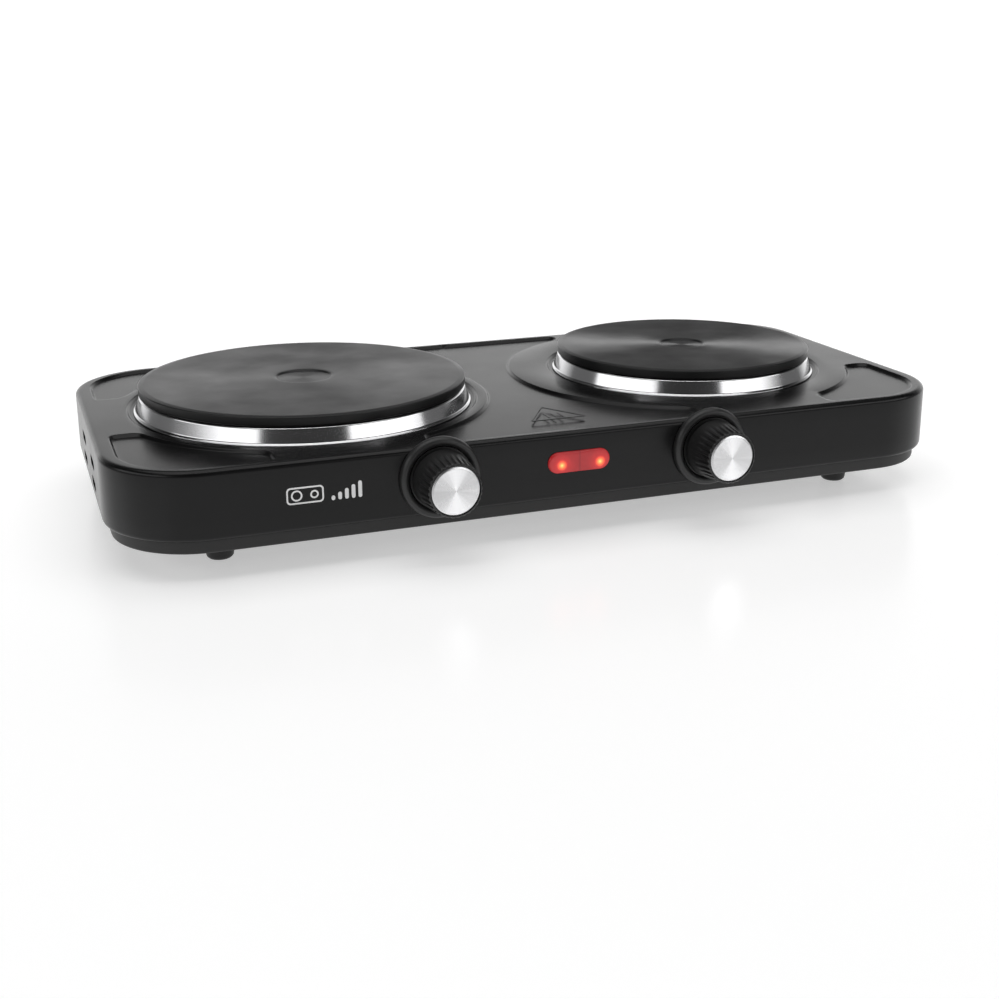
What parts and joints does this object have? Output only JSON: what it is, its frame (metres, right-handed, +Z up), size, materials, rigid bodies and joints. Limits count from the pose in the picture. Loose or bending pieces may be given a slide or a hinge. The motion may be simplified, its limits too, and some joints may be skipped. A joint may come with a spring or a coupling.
{
  "type": "hot plate burner",
  "caption": "Portable electric hot plate: cast-iron plates with bright steel rim rings in a low black pressed-steel case, thermostat knobs and a red indicator on the front.",
  "frame": {"origin": "centre of the bounding box's base, on the table under the feet", "axes": "+X along the case from the large plate to the small one, -Y out of the front wall with the knobs, +Z up"},
  "size_m": [0.474, 0.267, 0.071],
  "materials": {
    "shell_paint": "satin black paint",
    "pan_paint": "matt black paint",
    "rubber": "moulded black rubber",
    "cast_iron": "fine turned grooves under a black protective coat",
    "stainless": "bright spun stainless steel",
    "zinc_steel": "zinc-plated steel",
    "resistance_wire": "oxidised heating element sheath",
    "ceramic": "glazed steatite",
    "knob_plastic": "black ribbed heat-proof plastic",
    "spun_aluminium": "spun face",
    "bezel_plastic": "satin black plastic",
    "red_lens": "clear red plastic",
    "lamp_glass": "clear glass over a lit neon electrode",
    "holder_plastic": "dark moulded plastic",
    "terminal_plastic": "pale moulded plastic",
    "brass": "plain brass",
    "wire_sleeve": "woven glass sleeve"
  },
  "bodies": {
    "case": {"base_pan": "pan_paint", "cord_clamp": "terminal_plastic", "cord_gland": "rubber", "earth_lead": "wire_sleeve", "earth_screw": "brass", "front_left_foot": "rubber", "front_left_foot_screw": "zinc_steel", "front_right_foot": "rubber", "front_right_foot_screw": "zinc_steel", "indicator_lens": "red_lens", "lamp_holder": "holder_plastic", "large_bolt_nut": "zinc_steel", "large_centre_bolt": "zinc_steel", "large_clamp_strap": "zinc_steel", "large_cover_pan": "zinc_steel", "large_heating_coil": "resistance_wire", "large_hotplate": "cast_iron", "large_plate_terminal": "ceramic", "large_trim_ring": "stainless", "left_bezel": "bezel_plastic", "left_bush_nut": "zinc_steel", "left_neon_lamp": "lamp_glass", "left_neutral_lead": "wire_sleeve", "left_plate_lead": "wire_sleeve", "left_supply_lead": "wire_sleeve", "left_thermostat": "ceramic", "mains_terminal": "terminal_plastic", "rear_left_foot": "rubber", "rear_left_foot_screw": "zinc_steel", "rear_right_foot": "rubber", "rear_right_foot_screw": "zinc_steel", "right_bezel": "bezel_plastic", "right_bush_nut": "zinc_steel", "right_neon_lamp": "lamp_glass", "right_neutral_lead": "wire_sleeve", "right_plate_lead": "wire_sleeve", "right_supply_lead": "wire_sleeve", "right_thermostat": "ceramic", "small_bolt_nut": "zinc_steel", "small_centre_bolt": "zinc_steel", "small_clamp_strap": "zinc_steel", "small_cover_pan": "zinc_steel", "small_heating_coil": "resistance_wire", "small_hotplate": "cast_iron", "small_plate_terminal": "ceramic", "small_trim_ring": "stainless", "top_shell": "shell_paint"},
    "left_control": {"left_knob": "knob_plastic", "left_knob_cap": "spun_aluminium", "left_knob_spring": "stainless", "left_spindle": "zinc_steel"},
    "left_pin": {"left_setting_pin": "ceramic"},
    "left_arm": {"left_contact_arm": "brass"},
    "right_control": {"right_knob": "knob_plastic", "right_knob_cap": "spun_aluminium", "right_knob_spring": "stainless", "right_spindle": "zinc_steel"},
    "right_pin": {"right_setting_pin": "ceramic"},
    "right_arm": {"right_contact_arm": "brass"}
  },
  "joints": [
    {"name": "left_knob_turn", "type": "hinge", "parent": "case", "child": "left_control", "pos_m": [-0.0759, -0.107, 0.0417], "axis": [0, 1, 0], "range_deg": [0, 300]},
    {"name": "left_pin_slide", "type": "slide", "parent": "case", "child": "left_pin", "axis": [0, 1, 0], "range_m": [0, 0.0005]},
    {"name": "left_arm_turn", "type": "hinge", "parent": "case", "child": "left_arm", "pos_m": [-0.0854, -0.0915, 0.0417], "axis": [0, 0, 1], "range_deg": [0, 3.05]},
    {"name": "right_knob_turn", "type": "hinge", "parent": "case", "child": "right_control", "pos_m": [0.0759, -0.107, 0.0417], "axis": [0, 1, 0], "range_deg": [0, 300]},
    {"name": "right_pin_slide", "type": "slide", "parent": "case", "child": "right_pin", "axis": [0, 1, 0], "range_m": [0, 0.0005]},
    {"name": "right_arm_turn", "type": "hinge", "parent": "case", "child": "right_arm", "pos_m": [0.0664, -0.0915, 0.0417], "axis": [0, 0, 1], "range_deg": [0, 3.05]}
  ],
  "couplings": [
    {"joint": "left_pin_slide", "follows": "left_knob_turn", "m_per_rad": 0.0000954},
    {"joint": "left_arm_turn", "follows": "left_knob_turn", "ratio": 0.01},
    {"joint": "right_pin_slide", "follows": "right_knob_turn", "m_per_rad": 0.0000954},
    {"joint": "right_arm_turn", "follows": "right_knob_turn", "ratio": 0.01}
  ]
}
